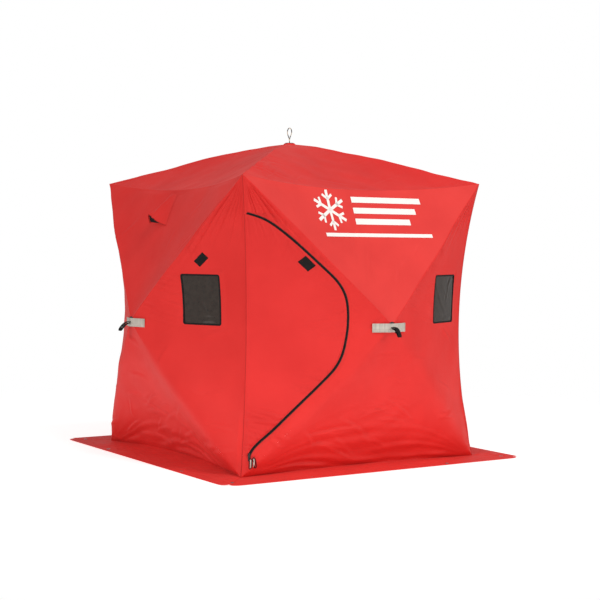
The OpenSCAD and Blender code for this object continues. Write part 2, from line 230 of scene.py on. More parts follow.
def from_seam(u, z, corner):
    """Distance along a pole seam from the hub, distance off it on the side panel's side, and its length."""
    end = np.array(corner) - np.array([0, HUB_Z])
    length = math.hypot(*end)
    way = end / length
    turn = math.copysign(1, corner[0]) * math.copysign(1, end[1])
    along = u * way[0] + (z - HUB_Z) * way[1]
    return along, (u * way[1] - (z - HUB_Z) * way[0]) * turn * np.sign(way[1]), length


def corner_pleats(u, z, side, height, seed):
    """Pleats that spread down from a top corner, below its pole seam, and grow with distance from it."""
    du = np.abs(u - side * TOP_HALF)
    down = WALL_H - z
    r = np.hypot(du, down)
    angle = np.arctan2(du, np.maximum(down, 1e-4))
    reach = 0.36 + 0.12 * uneven_wave(angle, 0.13, seed + 1) + 0.30 * ease(0.45, 0.76, angle)
    fade = ease(0.03, 0.10, r) * ease(1.15, 0.45, r / np.maximum(reach, 0.1)) * ease(0.81, 0.74, angle)
    return height * np.minimum(r, 0.25) / 0.25 * fade * pleats(angle, 0.083, seed)


def seam_ripples(u, z, corner, part, spacing, height, width, slant, seed):
    """Slanting ripples beside part of a pole seam, on the side panel."""
    along, off = from_seam(u, z, corner)[:2]
    inside = ease(part[0], part[0] + 0.1, along) * ease(part[1], part[1] - 0.1, along)
    reach = width * (0.7 + 0.5 * uneven_wave(along, 0.17, seed + 2))
    fade = ease(0.0, 0.02, off) * np.exp(-((np.maximum(off, 0) / np.maximum(reach, 0.02)) ** 2)) * inside
    patches = ease(-0.5, 0.4, uneven_wave(along, 0.31, seed + 1))
    return height * fade * patches * pleats(off * slant + along, spacing, seed)


def above_base(u, z, k):
    """Height over the wall's lower edge, which is lifted a little at its middle."""
    return z - BASE_LIFT[k] * arch(np.clip(u / BASE_HALF, -1, 1))


def base_folds(u, z, k, side, reach, height, seed):
    """Long folds that leave a bottom corner and run along just over the wall's base."""
    across = np.abs(u - side * BASE_HALF)
    rise = above_base(u, z, k)
    r = np.hypot(across, rise)
    angle = np.arctan2(np.maximum(rise, 0), across + 1e-4)
    fade = ease(0.03, 0.16, r) * np.exp(-((angle / 0.34) ** 2)) * np.exp(-((r / reach) ** 3))
    fade = fade * ease(0, 0.012, rise)
    turned = angle + 0.10 * np.sin(4 * r + seed)
    return height * np.minimum(r, 0.45) / 0.45 * fade * pleats(turned, 0.115, seed)


def base_tuck(u, z, k, height):
    """The cloth bellies over the seam of the skirt, and so throws a thin shadow along it."""
    rise = above_base(u, z, k)
    uneven = 0.7 + 0.4 * uneven_wave(u, 0.33, 320 + k)
    ends = arch(np.clip(u / BASE_HALF, -1, 1)) ** 0.4
    return height * uneven * np.exp(-(((rise - 0.028) / 0.018) ** 2)) * ends


def crease(u, z, at, angle, length, width, depth):
    """One short crease: a ridge with a hollow beside it."""
    c, s = math.cos(angle), math.sin(angle)
    du, dz = u - at[0], z - at[1]
    along = (du * c + dz * s) / length
    off = (-du * s + dz * c + 0.06 * length * along * along) / width
    return depth * np.exp(-(along ** 4)) * (np.exp(-(off ** 2)) - 0.7 * np.exp(-((off - 1.7) ** 2)))


def scattered_creases(u, z, low, high, count, turn, length, depth, seed):
    """Short creases here and there in a rectangle, all lying roughly one way."""
    draw = np.random.default_rng(seed)
    total = np.zeros(np.shape(u))
    for _ in range(count):
        at = draw.uniform(low, high)
        half = length * draw.uniform(0.5, 1.2)
        total += crease(u, z, at, turn + draw.normal(0, 0.35), half, draw.uniform(0.007, 0.013),
                        depth * draw.uniform(0.4, 1))
    return total


def zipper_distance(u, z):
    """Distance from the zipper and how far along it the nearest point is."""
    line = ZIPPER[::4]
    best = np.full(np.shape(u), 9.0)
    place = np.zeros(np.shape(u))
    step = math.dist(line[0], line[1])
    for i, (line_u, line_z) in enumerate(line):
        d = np.hypot(u - line_u, z - line_z)
        place = np.where(d < best, i * step, place)
        best = np.minimum(best, d)
    return best, place


# how far from a pole the cloth bellies out beside it
SEAM_BELLY = 0.16


def seam_kink(k, corner):
    """How sharply the smooth form folds over a pole seam, at places along it."""
    end = np.array(corner) - np.array([0, HUB_Z])
    length = math.hypot(*end)
    way = end / length
    along = np.linspace(0.06, 0.96, 40) * length
    step = 4 * MM
    w = [wall_out(along * way[0] + gap * way[1], HUB_Z + along * way[1] - gap * way[0], k)
         for gap in (-step, 0, step)]
    return along, (w[1] - (w[0] + w[2]) / 2) / step


def rounded_seam(u, z, k, corner, r):
    """Rounds the cloth over a pole: it still touches the pole, and bellies out a little beside it."""
    along, off, length = from_seam(u, z, corner)
    kink = np.interp(along, *seam_kink(k, corner))
    r = r * ease(0.02, 0.45, along) * ease(length + 0.02, length - 0.3, along) + 1e-5
    return kink * (np.abs(off) - np.hypot(off, r) + r * np.exp(-((off / SEAM_BELLY) ** 2)))


def window_gap(u, z, k):
    """Distance outside the window's rectangle, or less than zero inside it."""
    return np.maximum(np.abs(u - WINDOW_ACROSS[k]) - WINDOW_HALF[0], np.abs(z - WINDOW_Z) - WINDOW_HALF[1])


def relief(u, z, k):
    """How far wall k's cloth stands off its smooth form, with pleats, ripples, folds and creases."""
    u, z = np.broadcast_arrays(np.asarray(u, float), np.asarray(z, float))
    near_side = {0: -1, 1: 1}.get(k, 0)
    out = np.zeros(u.shape)
    for side in (-1, 1):
        strong = 1.0 if side == near_side else 0.55
        top = (side * TOP_HALF, WALL_H)
        low = (side * BASE_HALF, 0.0)
        seed = 11 * k + 3 * side + 40
        out += corner_pleats(u, z, side, 9.0 * MM * strong, seed)
        out += seam_ripples(u, z, top, (0.42, 1.0), 0.032, 4.5 * MM * strong, 0.09, 1.1, seed + 100)
        out += seam_ripples(u, z, top, (0.10, 0.62), 0.046, 4.5 * MM, 0.15, -0.5, seed + 200)
        out += base_folds(u, z, k, side, 0.75 + 0.35 * strong, 13.0 * MM * (0.45 + 0.55 * strong), seed + 300)
        out += rounded_seam(u, z, k, low, 0.055) + rounded_seam(u, z, k, top, 0.006)
    out += 6.0 * MM * soft_waves(u, z, 0.60, 80 + k) + 1.3 * MM * soft_waves(u, z, 0.19, 90 + k)
    lean = 0.2 if k else -0.2
    out += scattered_creases(u, z, (-0.75, 0.10), (0.75, 0.40), 22, lean, 0.11, 8.0 * MM, 7 + k)
    out += scattered_creases(u, z, (-0.55, 0.42), (0.75, 0.90), 10, 0.1, 0.08, 5.0 * MM, 17 + k)
    out += scattered_creases(u, z, (-0.5, 1.1), (0.5, 1.65), 9, 0.9, 0.08, 2.2 * MM, 27 + k)
    out += base_tuck(u, z, k, 13 * MM)
    if k == 0:
        gap, place = zipper_distance(u, z)
        inner = ease(-0.02, 0.03, zipper_across(z) - u)
        fade = np.exp(-((gap / 0.085) ** 2)) * ease(-0.5, 0.4, uneven_wave(place, 0.4, 62))
        fade = fade * mix(0.4, 1, inner)
        out += 4.2 * MM * pleats(place + 0.5 * gap, 0.038, 61) * fade
        out *= mix(0.12, 1, ease(0.005, 0.025, gap))
    gap = window_gap(u, z, k)
    level = ease(0.05, -0.03, np.abs(z - WINDOW_Z) - WINDOW_HALF[1])
    beside = np.exp(-((np.maximum(gap, 0) / 0.13) ** 2)) * level * (u < WINDOW_ACROSS[k])
    out += 3.4 * MM * beside * pleats(z + 0.25 * u, 0.036, 64 + k)
    out *= mix(0.10, 1, ease(0.008, 0.035, gap))
    # nothing moves along the sewn corners and edges, so that the panels still meet
    rise = above_base(u, z, k)
    out *= ease(0.0, 0.022, seam_at(np.clip(z, 0, WALL_H)) - np.abs(u))
    return out * ease(0.0, 0.03, top_edge_z(u) - z) * ease(-0.001, 0.012, rise)


def cloth_w(u, z, k, lift=0.0):
    return wall_out(u, z, k) + relief(u, z, k) + lift


def roof_place(x, y):
    """Share of the way down the roof and place across its edge, for points of the roof."""
    near = np.maximum(np.maximum(np.abs(x), np.abs(y)), 1e-6)
    ratio = np.minimum(np.abs(x), np.abs(y)) / near
    in_half = TOP_HALF - TOP_SAG_IN
    root = np.sqrt(np.maximum(TOP_HALF ** 2 - 4 * TOP_SAG_IN * ratio ** 2 * in_half, 0))
    t = 2 * ratio * in_half / (TOP_HALF + root)
    return near / (TOP_HALF - TOP_SAG_IN * arch(t)), t


def roof_relief(x, y):
    """Folds of the roof round its four ridges."""
    out = np.zeros(np.shape(x))
    for i, (sx, sy) in enumerate(((-1, -1), (1, -1), (1, 1), (-1, 1))):
        off = np.abs(x * sy - y * sx) / math.sqrt(2)
        along = (x * sx + y * sy) / math.sqrt(2)
        on_ridge = ease(0.1, 0.4, along)
        strong = 1.0 if i == 0 else 0.6
        out += 1.2 * MM * on_ridge * np.exp(-((off / 0.012) ** 2))
        patches = ease(-0.2, 0.5, uneven_wave(along, 0.34, 130 + i)) * on_ridge * ease(1.26, 1.1, along)
        ripples = pleats(along + 0.8 * off, 0.055, 140 + i)
        out += 2.2 * MM * strong * patches * ripples * np.exp(-((off / 0.13) ** 2)) * ease(0.0, 0.02, off)
    out += scattered_creases(x, y, (-0.85, -0.85), (-0.40, -0.40), 9, 0.6, 0.13, 5 * MM, 151)
    out += scattered_creases(x, y, (-0.8, -0.8), (0.8, 0.8), 18, 0.4, 0.14, 2.6 * MM, 152)
    out += 3 * MM * soft_waves(x, y, 0.5, 153) + 1.2 * MM * soft_waves(x, y, 0.18, 154)
    s = roof_place(x, y)[0]
    return out * ease(0.0, 0.04, 1 - s) * ease(0.05, 0.2, s)


def roof_z(x, y):
    s, t = roof_place(x, y)
    smooth = mix(ROOF_H, WALL_H - TOP_SAG_DOWN * arch(t), s) + ROOF_BOW * 6.75 * s * (1 - s) ** 2
    return smooth + roof_relief(x, y)


# ---------------- meshes
def add_mesh(name, points, faces, finish, uv=None, smooth=True):
    """A mesh object with one finish, without points that no face uses."""
    points = np.asarray(points, float)
    used, faces = np.unique(np.asarray(faces), return_inverse=True)
    mesh = bpy.data.meshes.new(name)
    mesh.from_pydata(points[used].tolist(), [], faces.reshape(-1, 4).tolist())
    mesh.materials.append(finish)
    if uv is not None:
        layer = mesh.uv_layers.new(name="cloth")
        ids = np.empty(len(mesh.loops), int)
        mesh.loops.foreach_get("vertex_index", ids)
        layer.data.foreach_set("uv", np.asarray(uv, np.float32)[used][ids].ravel())
    mesh.polygons.foreach_set("use_smooth", [smooth] * len(mesh.polygons))
    mesh.update()
    obj = bpy.data.objects.new(name, mesh)
    bpy.context.scene.collection.objects.link(obj)
    return obj


def grid_faces(rows, cols, ring=False, ring_rows=False):
    i, j = np.meshgrid(np.arange(rows if ring_rows else rows - 1), np.arange(cols if ring else cols - 1),
                       indexing="ij")
    i2, j2 = (i + 1) % rows, (j + 1) % cols
    return np.stack([i * cols + j, i * cols + j2, i2 * cols + j2, i2 * cols + j], axis=-1)


def facing(points, faces, way):
    """Turns the faces round if they look away from the given direction."""
    normal = np.cross(points[faces[:, 1]] - points[faces[:, 0]], points[faces[:, 2]] - points[faces[:, 0]])
    return faces[:, ::-1] if (normal * np.asarray(way)).sum() < 0 else faces


def grid_sheet(name, points, uv, finish, way, ring=False, holes=None):
    rows, cols = points.shape[:2]
    flat = points.reshape(-1, 3)
    faces = grid_faces(rows, cols, ring)
    if holes is not None:
        faces = faces[~holes]
    return add_mesh(name, flat, facing(flat, faces.reshape(-1, 4), way), finish, uv.reshape(-1, 2))


def sweep(name, path, across, outline, finish, closed=False):
    """A solid strip or cord: an outline carried along a path that stays square to one direction."""
    path = np.asarray(path, float)
    across = np.broadcast_to(np.asarray(across, float), path.shape)
    normal = np.cross(heading(path, closed), across)
    normal /= np.linalg.norm(normal, axis=1)[:, None]
    outline = np.asarray(outline, float)
    points = path[:, None] + across[:, None] * outline[None, :, :1] + normal[:, None] * outline[None, :, 1:]
    rows, cols = points.shape[:2]
    faces = grid_faces(rows, cols, True, closed).reshape(-1, 4)
    flat = points.reshape(-1, 3)
    gone = gone_along(path)
    uv = np.stack(np.broadcast_arrays(gone[:, None], np.cumsum(np.hypot(*outline.T))[None] / 3), axis=-1)
    if not closed:
        flat = np.concatenate([flat, path[:1], path[-1:]])
        first, last, mid = rows * cols, rows * cols + 1, (rows - 1) * cols
        ring = np.arange(0, cols, 2)
        start = np.stack([np.full(len(ring), first), (ring + 2) % cols, (ring + 1) % cols, ring], axis=1)
        corners = [np.full(len(ring), last), mid + ring, mid + (ring + 1) % cols, mid + (ring + 2) % cols]
        end = np.stack(corners, axis=1)
        faces = np.concatenate([faces, start, end])
        uv = np.concatenate([uv.reshape(-1, 2), uv[0, :1], uv[-1, :1]])
    return add_mesh(name, flat, faces, finish, uv.reshape(-1, 2))


def round_outline(r, n=8):
    angles = np.linspace(0, 2 * math.pi, n, endpoint=False)
    return np.stack([np.cos(angles), np.sin(angles)], axis=1) * r


def flat_outline(width, thick):
    a, b, e = width / 2, thick / 2, thick * 0.3
    return [(a - e, -b), (a, 0), (a - e, b), (0, b), (-a + e, b), (-a, 0), (-a + e, -b), (0, -b)]


def joined(name, pieces):
    """Puts the meshes of several pieces into the first of them."""
    with bpy.context.temp_override(active_object=pieces[0], selected_editable_objects=pieces):
        bpy.ops.object.join()
    pieces[0].name = name
    return pieces[0]


def fasten(obj, nodes=(), body=HUT):
    """Hides the nodes that a piece stands for, and attaches it to the body that it moves with."""
    for node in nodes:
        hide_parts(node)
    if body:
        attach(obj, body)
    return obj


def spread(n, lean):
    """n places from -1 to 1, closer together towards both ends."""
    q = np.linspace(-1, 1, n)
    return mix(q, np.sin(q * math.pi / 2), lean)


# ---------------- finishes
def linear(hex_colour):
    """An sRGB hex colour as linear red, green, blue and alpha."""
    parts = [int(hex_colour[i:i + 2], 16) / 255 for i in (1, 3, 5)]
    return (*[c / 12.92 if c <= 0.04045 else ((c + 0.055) / 1.055) ** 2.4 for c in parts], 1.0)


def add_node(tree, kind, settings=None, **inputs):
    """Adds a node, sets its properties, and sets or links its inputs by name or by number."""
    node = tree.nodes.new(kind)
    for key, value in (settings or {}).items():
        setattr(node, key, value)
    for key, value in inputs.items():
        socket = node.inputs[int(key[1:]) if key[1:].isdigit() else key.replace("_", " ")]
        if isinstance(value, bpy.types.NodeSocket):
            tree.links.new(value, socket)
        else:
            socket.default_value = value
    return node


def new_finish(name):
    finish = bpy.data.materials.new(name)
    finish.use_nodes = True
    tree = finish.node_tree
    tree.nodes.clear()
    return finish, tree


def finish_off(tree, **inputs):
    shader = add_node(tree, "ShaderNodeBsdfPrincipled", **inputs)
    add_node(tree, "ShaderNodeOutputMaterial", Surface=shader.outputs["BSDF"])


def colour_ramp(tree, fac, low, high, start=0.0, end=1.0):
    ramp = add_node(tree, "ShaderNodeValToRGB", Fac=fac)
    for element, place, colour in zip(ramp.color_ramp.elements, (start, end), (low, high)):
        element.position = place
        element.color = linear(colour)
    return ramp.outputs["Color"]


def surface_place(tree, kind="UV"):
    return add_node(tree, "ShaderNodeTexCoord").outputs[kind]


def cloudy(tree, place, scale, detail=3.0, **more):
    noise = add_node(tree, "ShaderNodeTexNoise", Vector=place, Scale=scale, Detail=detail, **more)
    return noise.outputs["Fac"]


def stripes(tree, place, pitch, way):
    """Even stripes a pitch apart, in metres."""
    scale = 2 * math.pi / 20 / pitch
    wave = add_node(tree, "ShaderNodeTexWave", {"bands_direction": way}, Vector=place, Scale=scale)
    return wave.outputs["Fac"]


def crossed_threads(tree, place, pitch):
    """A plain weave whose threads are a pitch apart, in metres."""
    return combined(tree, "MULTIPLY", stripes(tree, place, pitch, "X"), stripes(tree, place, pitch, "Y"))


def combined(tree, how, *values):
    inputs = {f"i{n}": value for n, value in enumerate(values)}
    return add_node(tree, "ShaderNodeMath", {"operation": how}, **inputs).outputs[0]


def bumped(tree, height, strength, distance, **more):
    bump = add_node(tree, "ShaderNodeBump", Height=height, Strength=strength, Distance=distance, **more)
    return bump.outputs["Normal"]


def between_values(tree, value, low, high):
    return add_node(tree, "ShaderNodeMapRange", Value=value, To_Min=low, To_Max=high).outputs["Result"]


# threads are about 0.5 mm apart; the weave is drawn five times coarser so that it can show
WEAVE_PITCH = 2.6 * MM


def coated_oxford(name, low, high, sheen):
    """Oxford polyester, woven and coated: even satin red; its weave and crumples catch soft light."""
    finish, tree = new_finish(name)
    place = surface_place(tree)
    weave = crossed_threads(tree, place, WEAVE_PITCH)
    crumple = cloudy(tree, place, 24.0, 4.0, Roughness=0.55, Distortion=0.9)
    tone = combined(tree, "MULTIPLY_ADD", weave, 0.10, cloudy(tree, place, 3.2))
    normal = bumped(tree, crumple, 0.22, 2.2 * MM)
    normal = bumped(tree, weave, 0.20, 0.25 * MM, Normal=normal)
    finish_off(tree, Base_Color=colour_ramp(tree, tone, low, high, 0.32, 0.78), Normal=normal, IOR=1.42,
               Roughness=between_values(tree, crumple, 0.54, 0.68), Specular_IOR_Level=0.36,
               Sheen_Weight=sheen, Sheen_Roughness=0.4, Sheen_Tint=linear("#ffb9b0"))
    return finish


def woven_tape(name, low, high, rough=0.8, pitch=1.6):
    """Nylon webbing and zipper tape, tightly woven: matt, with cross ribs that break up the light."""
    finish, tree = new_finish(name)
    place = surface_place(tree)
    weave = crossed_threads(tree, place, pitch * MM)
    tone = combined(tree, "MULTIPLY_ADD", weave, 0.35, cloudy(tree, place, 30.0))
    finish_off(tree, Base_Color=colour_ramp(tree, tone, low, high, 0.35, 0.95), Roughness=rough,
               Normal=bumped(tree, weave, 0.5, 0.4 * MM), Specular_IOR_Level=0.3)
    return finish


def tinted_vinyl():
    """Dark tinted vinyl, calendered: glossy and a little wavy, so that it throws soft broken glints."""
    finish, tree = new_finish("tinted_window_vinyl")
    place = surface_place(tree)
    smears = cloudy(tree, place, 30.0, 5.0, Roughness=0.7)
    normal = bumped(tree, cloudy(tree, place, 11.0, 2.5, Distortion=0.7), 0.35, 5 * MM)
    finish_off(tree, Base_Color=colour_ramp(tree, smears, "#261e19", "#3a312a", 0.3, 0.75), Normal=normal,
               Roughness=between_values(tree, smears, 0.10, 0.20), IOR=1.53)
    return finish


def moulded_nylon():
    """Glass-filled nylon, injection moulded: nearly black, satin, with a fine spark-eroded grain."""
    finish, tree = new_finish("moulded_black_nylon")
    place = surface_place(tree, "Object")
    normal = bumped(tree, cloudy(tree, place, 600.0), 0.25, 0.2 * MM)
    finish_off(tree, Base_Color=colour_ramp(tree, cloudy(tree, place, 45.0), "#0f0f11", "#222225", 0.3, 0.8),
               Roughness=0.48, Normal=normal, IOR=1.52)
    return finish


def fibreglass_rod():
    """Pultruded fibreglass: cream, semi-gloss, with long glass fibres showing under the resin."""
    finish, tree = new_finish("pultruded_fibreglass")
    fibres = cloudy(tree, surface_place(tree, "Object"), 260.0, Distortion=1.5)
    finish_off(tree, Base_Color=colour_ramp(tree, fibres, "#c9c1a6", "#e6e0cc", 0.3, 0.7), Roughness=0.33,
               Normal=bumped(tree, fibres, 0.2, 0.2 * MM), IOR=1.55, Coat_Weight=0.3, Coat_Roughness=0.15)
    return finish


def reflective_band():
    """Glass-bead reflective tape, bonded to a woven backing: pale grey with a fine diamond emboss."""
    finish, tree = new_finish("glass_bead_reflective_tape")
    place = surface_place(tree)
    turned = add_node(tree, "ShaderNodeMapping", Vector=place, Rotation=(0, 0, math.radians(45))).outputs[0]
    cells = combined(tree, "MAXIMUM", stripes(tree, turned, 6 * MM, "X"), stripes(tree, turned, 6 * MM, "Y"))
    tone = combined(tree, "MULTIPLY_ADD", cells, 0.3, cloudy(tree, place, 60.0))
    finish_off(tree, Base_Color=colour_ramp(tree, tone, "#8d867b", "#c4beb2", 0.3, 1.0), Roughness=0.42,
               Normal=bumped(tree, cells, 0.3, 0.4 * MM), IOR=1.6, Coat_Weight=0.2, Coat_Roughness=0.3)
    return finish


def marker_cord():
    """Braided polyester cord with reflective tracers: black and off-white by turns, ridged by its braid."""
    finish, tree = new_finish("braided_marker_cord")
    place = surface_place(tree)
    braid = stripes(tree, place, 3 * MM, "DIAGONAL")
    bands = stripes(tree, place, 46 * MM, "X")
    finish_off(tree, Base_Color=colour_ramp(tree, bands, "#1b1b19", "#c8c4b0", 0.46, 0.54), Roughness=0.62,
               Normal=bumped(tree, braid, 0.6, 0.5 * MM))
    return finish


def zinc_plate():
    """Steel, pressed and zinc plated: cool grey metal, slightly cloudy."""
    finish, tree = new_finish("zinc_plated_steel")
    cloud = cloudy(tree, surface_place(tree, "Object"), 120.0, 4.0)
    finish_off(tree, Base_Color=colour_ramp(tree, cloud, "#9a9c9f", "#c6c8ca", 0.3, 0.7), Metallic=1.0,
               Roughness=between_values(tree, cloud, 0.28, 0.5))
    return finish


def printed_ink():
    """Screen-printed ink on the cloth: white, slightly dull, with the weave showing through."""
    finish, tree = new_finish("white_screen_print")
    place = surface_place(tree)
    weave = crossed_threads(tree, place, WEAVE_PITCH)
    finish_off(tree, Base_Color=colour_ramp(tree, cloudy(tree, place, 40.0), "#ece6e2", "#f7f2ee"),
               Roughness=0.6, Normal=bumped(tree, weave, 0.3, 0.25 * MM))
    return finish


RED = coated_oxford("red_coated_oxford", "#d02521", "#db2c28", 0.08)
# painted highlight: a paler copy of the cloth red, with more sheen, for the top panels that the light falls
# on most brightly; the cloth itself is one red
LIT_TOP_RED = coated_oxford("red_coated_oxford_top_painted_highlight", "#d2312d", "#de3934", 0.14)
# painted shade: a deeper copy of the cloth red for the roof, which shows darker than the tops of the walls
# under this light
SHADED_ROOF_RED = coated_oxford("red_coated_oxford_roof_painted_shade", "#d01e1b", "#dc2622", 0.12)
# painted shade: a darker copy of the cloth red for the door flap, which sits in less light than the rest of
# the front
SHADED_DOOR_RED = coated_oxford("red_coated_oxford_door_painted_shade", "#cc2421", "#d72b28", 0.08)
SKIRT_RED = coated_oxford("red_tarpaulin_skirt", "#d62b27", "#e2332e", 0.08)
SEAM_RED = coated_oxford("red_seam_binding", "#b01a17", "#bd211d", 0.06)
BLACK_TAPE = woven_tape("black_nylon_webbing", "#050505", "#101011")
# painted reflection: the raised strip beside the zipper is coloured greyish red for the light that the flap's
# edge catches
EDGE_REFLECTION_PIPING = woven_tape("zipper_edge_painted_reflection", "#6a2f2b", "#8a4a45", 0.7, 2.4)
SCREEN = woven_tape("black_vent_mesh", "#080808", "#1a1a1b", 0.9, 3.0)
VINYL = tinted_vinyl()
NYLON = moulded_nylon()
FIBREGLASS = fibreglass_rod()
REFLECTIVE = reflective_band()
CORD = marker_cord()
ZINC = zinc_plate()
INK = printed_ink()


# ---------------- cloth panels
SIDE_FLAT = (1.86, 0.98)
NEAR_WALLS = (0, 1)


def cloth_points(u, z, k, lift=0.0):
    return hut_point(u, cloth_w(u, z, k, lift), z, k)


def wall_direction(k):
    return hut_point(0.0, 1.0, 0.0, k)


def add_cloth(name, u, z, k, finish, nodes, flat, holes=None, body=HUT):
    u, z = np.broadcast_arrays(u, z)
    points = cloth_points(u, z, k)
    obj = grid_sheet(name, points, np.stack([u, z], axis=-1), finish, wall_direction(k), holes=holes)
    fasten(obj, nodes, body)
    return obj


def fan_grid(part, k):
    """Across and up places of a wall's top or bottom panel, fine at its corners."""
    rows, cols = (84, 150) if k in NEAR_WALLS else (56, 100)
    s = mix(HUB_HOLE, 1, np.linspace(0, 1, rows) ** 0.85)[:, None]
    t = spread(cols, 0.6)[None, :]
    if part == "top":
        return s * TOP_HALF * t, mix(HUB_Z, WALL_H - TOP_SAG_DOWN * arch(t), s)
    return s * BASE_HALF * t, mix(HUB_Z, BASE_LIFT[k] * arch(t), s)


def pole_at(z):
    """How far across a wall its pole seams are at height z."""
    upper = TOP_HALF * (z - HUB_Z) / (WALL_H - HUB_Z)
    return np.maximum(np.where(z > HUB_Z, upper, BASE_HALF * (HUB_Z - z) / HUB_Z), HUB_HOLE * BASE_HALF)


def heights(low, high, n):
    """n heights from low to high, closer together towards the corners of the wall."""
    full = WALL_H * (spread(400, 0.5) + 1) / 2
    order = np.interp([low, high], full, np.linspace(0, 1, 400))
    z = np.interp(np.linspace(*order, n), np.linspace(0, 1, 400), full)
    z[0], z[-1] = low, high
    return z


def plain_grid(k):
    rows, cols = (170, 64) if k in NEAR_WALLS else (120, 44)
    z = heights(0, WALL_H, rows)[:, None]
    return -mix(pole_at(z), seam_at(z), np.linspace(0, 1, cols)[None, :]), z


def window_grid(k):
    """A right-hand side panel as rows from its pole seams to its corner seam, and which faces are window."""
    fine = 1.0 if k in NEAR_WALLS else 0.65
    low, high = WINDOW_Z - WINDOW_HALF[1] + 3 * MM, WINDOW_Z + WINDOW_HALF[1] - 3 * MM
    counts = [int(n * fine) for n in (96, 44, 86)]
    z = np.concatenate([heights(0, low, counts[0]), heights(low, high, counts[1])[1:],
                        heights(high, WALL_H, counts[2])[1:]])[:, None]
    held = np.clip(z, low, high)
    width = seam_at(held) - pole_at(held)
    left = (WINDOW_ACROSS[k] - WINDOW_HALF[0] + 3 * MM - pole_at(held)) / width
    right = (WINDOW_ACROSS[k] + WINDOW_HALF[0] - 3 * MM - pole_at(held)) / width
    blocks = [int(n * fine) for n in (46, 34, 32)]
    steps = [np.linspace(0, 1, n + 1)[None, :] for n in blocks]
    parts = [left * steps[0], mix(left, right, steps[1])[:, 1:], mix(right, 1, steps[2])[:, 1:]]
    share = np.concatenate(parts, axis=1)
    u = mix(pole_at(z), seam_at(z), share)
    middle = (z[:-1, 0] + z[1:, 0]) / 2
    row_in = (middle > low) & (middle < high)
    col_in = (np.arange(share.shape[1] - 1) >= blocks[0]) & (np.arange(share.shape[1] - 1) < sum(blocks[:2]))
    return u, z + 0 * u, row_in[:, None] & col_in[None, :]


for k, wall in enumerate(WALLS):
    # the left wall's top panel keeps the plain red; the other top panels get the paler copy, which is painted
    # highlight
    for part, finish in {"top": RED if k == 1 else LIT_TOP_RED, "bottom": RED}.items():
        add_cloth(f"{wall}_{part}_cloth", *fan_grid(part, k), k, finish, [f"{wall}_{part}_panel"], SIDE_FLAT)
    if k:
        add_cloth(f"{wall}_plain_cloth", *plain_grid(k), k, RED, [f"{wall}_plain_panel"], SIDE_FLAT)
    u, z, holes = window_grid(k)
    add_cloth(f"{wall}_window_cloth", u, z, k, RED, [f"{wall}_window_panel"], SIDE_FLAT, holes)

# The cloth that holds the door is the strip above the zipper and the strip below it.
STRIP_FLAT = (1.30, 0.24)
for part, ends in {"above": (HUB_Z, WALL_H), "below": (0.0, HUB_Z)}.items():
    z = np.union1d(heights(*ends, 120), [e + g for e in (LOW_END[1], HIGH_END[1]) for g in (-1e-4, 1e-4)
                                         if ends[0] < e < ends[1]])[:, None]
    u = mix(zipper_across(z), -pole_at(z), np.linspace(0, 1, 60)[None, :])
    add_cloth(f"front_cloth_{part}_door", u, z, 0, RED, ["front_door_panel"], STRIP_FLAT)


def fold_at_hinge(obj):
    """Bakes the piece's placement into its mesh."""
    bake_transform(obj)
    return obj


z = heights(LOW_END[1], HIGH_END[1], 250)[:, None]
u = mix(-seam_at(z), zipper_across(z), np.linspace(0, 1, 120)[None, :])
# the flap's darker red is painted shade
flap = add_cloth("door_flap_cloth", u, z, 0, SHADED_DOOR_RED, ["door_flap"], (1.46, 0.68), body=None)
fold_at_hinge(flap)

# ---------------- roof
for k, wall in enumerate(WALLS):
    rows, cols = (84, 150) if k in NEAR_WALLS else (60, 110)
    s = mix(HUB_HOLE, 1, np.linspace(0, 1, rows) ** 0.85)[:, None]
    t = spread(cols, 0.6)[None, :]
    points = hut_point(s * TOP_HALF * t, s * (TOP_HALF - TOP_SAG_IN * arch(t)), 0 * s * t, k)
    points[..., 2] = roof_z(points[..., 0], points[..., 1])
    # the roof's deeper red is painted shade
    obj = grid_sheet(f"roof_{wall}_cloth", points, points[..., :2], SHADED_ROOF_RED, (0, 0, 1))
    fasten(obj, [f"roof_{wall}_panel"])

CAP_R = 46 * MM
CAP_UP = 8.5 * MM
r = np.linspace(5 * MM, CAP_R, 24)[:, None]
a = np.linspace(0, 2 * math.pi, 64, endpoint=False)[None, :]
points = np.stack(np.broadcast_arrays(r * np.cos(a), r * np.sin(a), 0 * r * a), axis=-1)
points[..., 2] = roof_z(points[..., 0], points[..., 1]) + mix(-1 * MM, CAP_UP, ease(CAP_R, 31 * MM, r))
# the cap's deeper red is painted shade, as on the roof
cap = grid_sheet("roof_cap", points, points[..., :2], SHADED_ROOF_RED, (0, 0, 1), ring=True)
fasten(cap)

# ---------------- snow skirt
HEM = 22 * MM


